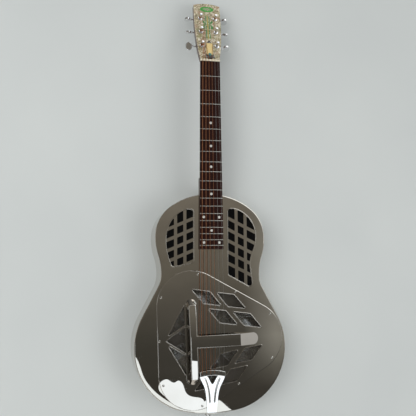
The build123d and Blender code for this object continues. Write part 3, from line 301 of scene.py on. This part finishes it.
def dark_screen():
    """Fine weave, almost without gloss; its near-black colour is the screen's own dark tone with painted
    shade of the dark body behind it.
    """
    made, tree, shader = material("dark_screen", Metallic=0.0, Specular_IOR_Level=0.08)
    where = place(tree)
    # Near-black colour: painted shade of the dark inside of the body seen through the screen, over the
    # screen's own dark tone.
    colour = (0.004, 0.004, 0.004)
    set_mottle(tree, shader, noise(tree, where, 500), colour, shade_of(colour, 0.6))
    set_gloss(tree, shader, noise(tree, where, 200), 0.85, 0.95)
    weave = maths(tree, "ADD", bands(tree, where, 250, "X"), bands(tree, where, 250, "Y"))
    set_bump(tree, shader, weave, 0.0002)
    return made


def spun(name, colour):
    """Spun aluminium with a fine, uneven sheen."""
    made, tree, shader = material(name, Metallic=1.0)
    where = place(tree)
    set_mottle(tree, shader, noise(tree, where, 25, detail=3), colour, shade_of(colour, 0.85))
    set_gloss(tree, shader, noise(tree, where, 80, detail=3), 0.2, 0.34)
    set_bump(tree, shader, noise(tree, where, 500), 0.00003)
    return made


slots = {
    "nickel_body": plated("nickel_body", (0.62, 0.59, 0.54), (0.54, 0.51, 0.46)),
    "nickel_cover": plated("nickel_cover", (0.64, 0.61, 0.57), (0.58, 0.55, 0.51)),
    "tuner_chrome": plated("tuner_chrome", (0.86, 0.86, 0.86), (0.76, 0.76, 0.76), 0.02, 0.08),
    "tail_chrome": plated("tail_chrome", (0.86, 0.85, 0.83), (0.78, 0.77, 0.75), 0.01, 0.05),
    "chrome_screw": plated("chrome_screw", (0.58, 0.57, 0.54), (0.46, 0.44, 0.40), 0.08, 0.16),
    "dark_screen": dark_screen(),
    "well_sheet": cast_metal("well_sheet", (0.24, 0.22, 0.20), 0.35, grain=300),
    "cast_aluminium": cast_metal("cast_aluminium", (0.62, 0.61, 0.58), 0.4),
    "steel": cast_metal("steel", (0.42, 0.41, 0.40), 0.3),
    "brass_nut": cast_metal("brass_nut", (0.70, 0.52, 0.22), 0.25),
    "fret_wire": plated("fret_wire", (0.50, 0.49, 0.45), (0.40, 0.38, 0.34), 0.15, 0.25),
    "cone_aluminium": spun("cone_aluminium", (0.80, 0.80, 0.79)),
    "maple": wood("maple", (0.42, 0.27, 0.13), (0.60, 0.43, 0.25), 120, 0.45),
    "mahogany": wood("mahogany", (0.035, 0.014, 0.007), (0.085, 0.034, 0.016), 160, 0.22),
    "rosewood": wood(
        "rosewood", (0.006, 0.003, 0.002), (0.026, 0.007, 0.005), 260, 0.5, pores=0.00008, coat=0.0, gloss=0.1
    ),
    "pearl": lacquer("pearl", (0.80, 0.78, 0.72), (0.55, 0.56, 0.52), 600, 0.15),
    "bone": lacquer("bone", (0.92, 0.86, 0.70), (0.76, 0.66, 0.46), 220, 0.3),
    "pearloid": pearloid(),
    "gold_inlay": inlay(),
    "green_badge": badge(),
    "dark_plate": lacquer("dark_plate", (0.015, 0.012, 0.01), (0.03, 0.025, 0.018), 120),
    "cream_plate": lacquer("cream_plate", (1.0, 0.80, 0.36), (0.62, 0.42, 0.12), 330),
    "teal_inlay": lacquer("teal_inlay", (0.02, 0.14, 0.15), (0.04, 0.22, 0.18), 300),
    "bronze_wound": string_wire("bronze_wound", (0.44, 0.19, 0.09), 0.28, turns=400),
    "plain_steel": string_wire("plain_steel", (0.38, 0.38, 0.36), 0.3),
}
mesh_wire = cast_metal("mesh_wire", (0.22, 0.20, 0.17), 0.5, grain=900)


# ---- The CAD pieces -----------------------------------------------------------------------


def even_normals(piece):
    """Round faces shade smoothly, and the flat faces beside them stay flat."""
    piece.data.shade_smooth()
    modifier = piece.modifiers.new("even_normals", "WEIGHTED_NORMAL")
    modifier.weight = 100
    modifier.keep_sharp = True


for name, piece in nodes.items():
    piece.data.materials.clear()
    piece.data.materials.append(slots[slot_of[name]])
    even_normals(piece)


# ---- Woven screens ------------------------------------------------------------------------

SCREEN_PITCH = 0.0016
SCREEN_WIRE_RADIUS = 0.00028
# How far each layer of wires lies from the sheet's middle, in wire radii: they just bite.
LAYER_OFFSET = 0.9
# The wires are cut where they cross the sheet's outline, to the nearest step.
CUT_STEP = 0.0008
ABOVE_SHEET = 0.01


def runs_inside(sheet, start, step, count):
    """The stretches of a line that lie over a flat sheet, as pairs of points."""
    runs, first = [], None
    for index in range(count + 1):
        point = start + step * index
        inside = index < count and sheet.ray_cast(point, DOWN)[0] is not None
        if inside and first is None:
            first = point
        if not inside and first is not None:
            runs.append((first, start + step * (index - 1)))
            first = None
    return runs


def add_wire(points, faces, begin, end, across):
    """A straight wire of square section, standing on its corner."""
    base = len(points)
    beside = across * SCREEN_WIRE_RADIUS
    above = Vector((0, 0, SCREEN_WIRE_RADIUS))
    for middle in (begin, end):
        points.extend([middle + beside, middle + above, middle - beside, middle - above])
    for side in range(4):
        after = (side + 1) % 4
        faces.append((base + side, base + after, base + 4 + after, base + 4 + side))
    faces.append((base + 3, base + 2, base + 1, base))
    faces.append((base + 4, base + 5, base + 6, base + 7))


def woven_screen(name, node, surface):
    """A wire screen in place of a flat sheet: two layers of crossed wires, cut to the sheet's outline."""
    low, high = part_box(node)
    sheet = BVHTree.FromObject(nodes[node], bpy.context.evaluated_depsgraph_get())
    middle = (low + high) / 2
    reach = (high - low).length / 2
    rows = int(reach / SCREEN_PITCH)
    points, faces = [], []
    for degrees, side in ((45, -1), (135, 1)):
        angle = math.radians(degrees)
        along = Vector((math.cos(angle), math.sin(angle), 0))
        across = Vector((-along.y, along.x, 0))
        height = middle.z + side * SCREEN_WIRE_RADIUS * LAYER_OFFSET
        above_middle = Vector((middle.x, middle.y, high.z + ABOVE_SHEET))
        for row in range(-rows, rows + 1):
            start = above_middle + across * (row * SCREEN_PITCH) - along * reach
            for begin, end in runs_inside(sheet, start, along * CUT_STEP, int(2 * reach / CUT_STEP)):
                begin.z = height
                end.z = height
                add_wire(points, faces, begin, end, across)
    mesh = bpy.data.meshes.new(name)
    mesh.from_pydata([tuple(point) for point in points], [], faces)
    mesh.materials.append(surface)
    made = link(name, mesh)
    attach(made, "guitar")
    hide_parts(node)


woven_screen("grille_mesh", "coverplate_screens", mesh_wire)


# ---- Tailpiece beads ----------------------------------------------------------------------

BEAD_RADIUS = 0.0024
# How far below the strap's face the bead's centre lies, and how far its skirt sinks into the strap.
BEAD_SINK = 0.00105
BEAD_SKIRT = 0.0004
BEAD_REACH = math.acos(BEAD_SINK / BEAD_RADIUS)
BEAD_ARC_STEPS = 8
BEAD_STEPS = 40
# Each end tapers over this many steps, from this share of the bead's section.
TAPER_STEPS = 3
TAPER_FROM = 0.1
# The treble bead's line on the strap, as a curve's ends and handles.
BEAD_START, BEAD_END = Vector((0.0175, -0.076)), Vector((0.0052, -0.1317))
BEAD_HANDLES = Vector((0.0089, -0.092)), Vector((0.0059, -0.112))
# Where the strap's face is measured: this far beside the line, in bead radii, from this height.
FACE_BESIDE = 1.3
FACE_FROM = 0.2


def bead_section(size):
    """The bead's rounded top and the skirt that sinks into the strap, as (across, up) points."""
    half = BEAD_ARC_STEPS / 2
    angles = [BEAD_REACH * (step / half - 1) for step in range(BEAD_ARC_STEPS + 1)]
    top = [(BEAD_RADIUS * math.sin(turn), BEAD_RADIUS * math.cos(turn) - BEAD_SINK) for turn in angles]
    outline = top + [(top[-1][0], -BEAD_SKIRT), (top[0][0], -BEAD_SKIRT)]
    return [(across * size, up * size if up > 0 else up) for across, up in outline]


def bead_rings(strap, side):
    """The bead's sections along one leg, each a list of points on the strap's face."""
    line = interpolate_bezier(BEAD_START, *BEAD_HANDLES, BEAD_END, BEAD_STEPS + 1)
    rings = []
    for step, spot in enumerate(line):
        from_end = min(step, BEAD_STEPS - step) / TAPER_STEPS
        size = math.sqrt(min(1, TAPER_FROM + from_end))
        ahead = line[min(step + 1, BEAD_STEPS)] - line[max(step - 1, 0)]
        across = Vector((-ahead.y, ahead.x, 0)).normalized()
        beside = Vector((spot.x, spot.y, FACE_FROM)) + across * BEAD_RADIUS * FACE_BESIDE
        height = strap.ray_cast(beside, DOWN)[0].z
        ring = []
        for over, up in bead_section(size):
            point = spot.to_3d() + across * over
            ring.append((point.x * side, point.y, height + up))
        rings.append(ring)
    return rings


def ring_faces(base, rings, corners):
    """The faces that join rings of points one after another, with both ends closed."""
    faces = []
    for ring in range(rings - 1):
        first = base + ring * corners
        for corner in range(corners):
            after = (corner + 1) % corners
            faces.append((first + corner, first + after, first + corners + after, first + corners + corner))
    last = base + (rings - 1) * corners
    faces.append(tuple(range(base, base + corners)))
    faces.append(tuple(range(last, last + corners)))
    return faces


def face_outwards(mesh):
    """Turns every face of closed surfaces to the outside."""
    shell = bmesh.new()
    shell.from_mesh(mesh)
    bmesh.ops.recalc_face_normals(shell, faces=shell.faces)
    shell.to_mesh(mesh)
    shell.free()


def tailpiece_beads():
    """A round bead along each leg of the tailpiece, over its pressed rib."""
    strap = BVHTree.FromObject(nodes["tailpiece"], bpy.context.evaluated_depsgraph_get())
    points, faces = [], []
    for side in (-1, 1):
        rings = bead_rings(strap, side)
        faces.extend(ring_faces(len(points), len(rings), len(rings[0])))
        for ring in rings:
            points.extend(ring)
    mesh = bpy.data.meshes.new("tailpiece_beads")
    mesh.from_pydata(points, [], faces)
    face_outwards(mesh)
    mesh.materials.append(slots["tail_chrome"])
    made = link("tailpiece_beads", mesh)
    even_normals(made)
    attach(made, "guitar")


tailpiece_beads()


# ---- Stage --------------------------------------------------------------------------------

FLOOR_REACH = 6.0
CARD_Z = 2.5
PATCH_Z = CARD_Z - 0.02
BAND_Z = CARD_Z - 0.03
WALL_REACH = 3.4
WALL_FOOT, WALL_TOP = 0.02, CARD_Z - 0.1
WALL_SIDES = 64
PANEL_REACH, PANEL_Y = 1.2, 3.2
PANEL_FOOT, PANEL_TOP = 1.8, 2.35
WORLD_STRENGTH = 0.50


def staged_mesh(name, points, faces):
    """A mesh that belongs to the stage, not to the guitar."""
    mesh = bpy.data.meshes.new(name)
    mesh.from_pydata(points, [], faces)
    made = link(name, mesh)
    return made


def plane(name, corners):
    """One flat sheet of the stage."""
    return staged_mesh(name, corners, [tuple(range(len(corners)))])


def floor():
    """The plain pale floor."""
    reach = FLOOR_REACH
    made = plane("floor", [(-reach, -reach, 0), (reach, -reach, 0), (reach, reach, 0), (-reach, reach, 0)])
    surface, tree, shader = material("floor", Roughness=0.85)
    tone = remap(tree, noise(tree, place(tree), 3), 0.3, 0.7, 0, 1)
    set_mottle(tree, shader, tone, (0.70, 0.73, 0.715), (0.66, 0.69, 0.68))
    made.data.materials.append(surface)


def glow(name, colour, power):
    """A material that only gives light, with its tree and its emission node."""
    made = bpy.data.materials.new(name)
    made.use_nodes = True
    tree = made.node_tree
    tree.nodes.clear()
    light = add(tree, "Emission", {"Color": (*colour, 1), "Strength": power})
    add(tree, "OutputMaterial", {"Surface": light.outputs[0]})
    return made, tree, light


def only_reflected(piece):
    """A card that polished metal shows, but that neither lights nor shades anything."""
    piece.visible_camera = False
    piece.visible_diffuse = False
    piece.visible_transmission = False
    piece.visible_shadow = False
    piece.visible_volume_scatter = False


def card(name, edge, corners, height, surface):
    """A flat card overhead: a smooth edge through a few points, closed round some plain corners."""
    curve = bpy.data.curves.new(name, "CURVE")
    curve.dimensions = "2D"
    curve.fill_mode = "BOTH"
    curve.resolution_u = 12
    spline = curve.splines.new("BEZIER")
    spline.bezier_points.add(len(edge) + len(corners) - 1)
    kinds = ["AUTO"] * len(edge) + ["VECTOR"] * len(corners)
    for point, (x, y), kind in zip(spline.bezier_points, edge + corners, kinds):
        point.co = (x, y, 0)
        point.handle_left_type = kind
        point.handle_right_type = kind
    spline.use_cyclic_u = True
    curve.materials.append(surface)
    made = link(name, curve)
    made.location.z = height
    only_reflected(made)


def ceiling_card():
    """The dark ceiling that the face reflects: paler towards the neck and past the treble side."""
    reach = WALL_REACH
    corners = [(-reach, -reach), (-reach, reach), (reach, reach), (reach, -reach)]
    made = plane("ceiling_card", [(x, y, CARD_Z) for x, y in corners])
    surface, tree, light = glow("ceiling_card", (0.1, 0.1, 0.09), 1.0)
    where = add(tree, "SeparateXYZ", {"Vector": place(tree)}).outputs
    stops = (
        (0.0, (0.045, 0.043, 0.038)),
        (0.35, (0.074, 0.071, 0.060)),
        (0.6, (0.165, 0.153, 0.127)),
        (1.0, (0.28, 0.255, 0.215)),
    )
    base = ramp(tree, remap(tree, where["Y"], -0.7, 0.75, 0, 1), stops)
    treble = remap(tree, where["X"], 0.72, 0.92, 0, 1)
    upper = remap(tree, where["Y"], -0.50, -0.18, 0, 1)
    colour = mix(tree, maths(tree, "MULTIPLY", treble, upper), base, (0.34, 0.335, 0.30))
    streaks = remap(tree, noise(tree, place(tree, (1.5, 4, 1)), 1, detail=3), 0.4, 0.7, 0, 0.3)
    set_up(tree, light, "Color", mix(tree, streaks, colour, (0.11, 0.10, 0.09)))
    made.data.materials.append(surface)
    only_reflected(made)


def white_panel():
    """A bright window high up beyond the headstock, seen in the tuner bushings."""
    corners = [(-PANEL_REACH, PANEL_FOOT), (PANEL_REACH, PANEL_FOOT), (PANEL_REACH, PANEL_TOP)]
    corners.append((-PANEL_REACH, PANEL_TOP))
    made = plane("white_panel", [(x, PANEL_Y, z) for x, z in corners])
    made.data.materials.append(glow("white_panel", (0.96, 0.98, 1.0), 1.3)[0])
    only_reflected(made)


def white_cards():
    """White sheets overhead: two that the lower bass side of the face and the tailpiece show, and one far
    towards the neck's treble side, which tilted surfaces show."""
    surface = glow("white_card", (0.86, 0.93, 0.98), 1.65)[0]
    patch = [
        (0.20, -0.46), (0.24, -0.42), (0.29, -0.44), (0.32, -0.43), (0.37, -0.51), (0.47, -0.56),
        (0.43, -0.59), (0.32, -0.58), (0.24, -0.52),
    ]
    band = [
        (-0.10, -0.15), (0.06, -0.28), (0.13, -0.43), (0.25, -0.54), (0.37, -0.59), (0.53, -0.54),
        (0.62, -0.60), (0.72, -0.68),
    ]
    behind_band = [
        (0.67, -0.95), (0.52, -2.4), (0.54, -3.3), (0.36, -3.3), (0.38, -0.9), (0.0, -0.9),
        (-0.6, -0.6), (-0.6, -0.2),
    ]
    corner = [(1.4, 0.3), (3.0, 0.3), (3.0, 3.0), (0.6, 3.0), (0.6, 1.3)]
    card("white_patch", patch, [], PATCH_Z, surface)
    card("white_band", band, behind_band, BAND_Z, surface)
    card("white_corner", [], corner, BAND_Z, surface)


def walls():
    """A round wall of bright and dark stretches, which bent metal shows as streaks."""
    turns = [math.tau * side / WALL_SIDES for side in range(WALL_SIDES)]
    ring = [(WALL_REACH * math.cos(turn), WALL_REACH * math.sin(turn)) for turn in turns]
    points = [(x, y, z) for z in (WALL_FOOT, WALL_TOP) for x, y in ring]
    faces = []
    for side in range(WALL_SIDES):
        after = (side + 1) % WALL_SIDES
        faces.append((side, after, WALL_SIDES + after, WALL_SIDES + side))
    made = staged_mesh("walls", points, faces)
    surface, tree, light = glow("walls", (1, 1, 1), 1.0)
    where = add(tree, "SeparateXYZ", {"Vector": place(tree)}).outputs
    # Each tone is a share of a turn, from the bass side past the tail, and the wall's brightness there.
    turn = remap(tree, maths(tree, "ARCTAN2", where["Y"], where["X"]), -math.pi, math.pi, 0, 1)
    tones = (
        (0.0, 0.5), (0.06, 0.5), (0.13, 1.6), (0.20, 1.4), (0.28, 1.0), (0.32, 0.08), (0.42, 0.08),
        (0.5, 0.6), (0.55, 0.3), (0.59, 2.4), (0.68, 2.4), (0.72, 0.3), (0.80, 0.1), (0.92, 0.08),
        (0.97, 0.5),
    )
    set_up(tree, light, "Color", ramp(tree, turn, [(at, (tone, tone, tone * 0.98)) for at, tone in tones]))
    set_up(tree, light, "Strength", remap(tree, where["Z"], 0.1, 0.6, 0.35, 1))
    made.data.materials.append(surface)
    only_reflected(made)


def area_light(name, at, aim, side, power):
    """A square soft light that leaves no reflection of its own."""
    data = bpy.data.lights.new(name, "AREA")
    data.shape = "RECTANGLE"
    data.size = side
    data.size_y = side
    data.energy = power
    made = link(name, data)
    made.location = at
    made.rotation_euler = (Vector(aim) - Vector(at)).to_track_quat("-Z", "Y").to_euler()
    made.visible_glossy = False


def world():
    """Soft, nearly even light from all round."""
    made = bpy.data.worlds.new("studio")
    made.use_nodes = True
    tree = made.node_tree
    background = tree.nodes["Background"]
    height = add(tree, "SeparateXYZ", {"Vector": add(tree, "TexCoord").outputs["Generated"]}).outputs["Z"]
    stops = ((0.0, (0.50, 0.51, 0.51)), (0.3, (0.74, 0.76, 0.76)), (1.0, (0.60, 0.61, 0.61)))
    set_up(tree, background, "Color", ramp(tree, remap(tree, height, -0.2, 1, 0, 1), stops))
    background.inputs["Strength"].default_value = WORLD_STRENGTH
    bpy.context.scene.world = made


# The camera's place, and its turn from the guitar's frame as an axis times an angle in radians.
CAMERA_AT = Vector((-0.3104, 0.1293, 1.5270))
CAMERA_TURN = Vector((-0.1168, 0.207, -0.0065))
# Both in millimetres.
CAMERA_LENS = 56.24
SENSOR_WIDTH = 36


def camera():
    """A camera nearly overhead, towards the bass side and looking back at the face."""
    data = bpy.data.cameras.new("camera")
    data.lens = CAMERA_LENS
    data.sensor_width = SENSOR_WIDTH
    data.dof.use_dof = False
    made = link("camera", data)
    to_camera = Matrix.Rotation(CAMERA_TURN.length, 3, CAMERA_TURN.normalized())
    made.matrix_world = Matrix.Translation(CAMERA_AT) @ to_camera.transposed().to_4x4()
    bpy.context.scene.camera = made


floor()
ceiling_card()
white_panel()
white_cards()
walls()
world()
camera()
area_light("key", at=(-1.5, 0.5, 2.3), aim=(0, 0.3, 0), side=1.8, power=33)
area_light("fill", at=(1.6, -0.3, 2.1), aim=(0, 0.3, 0), side=1.8, power=19)
bpy.context.scene.view_settings.view_transform = "Standard"
bpy.context.scene.view_settings.look = "None"
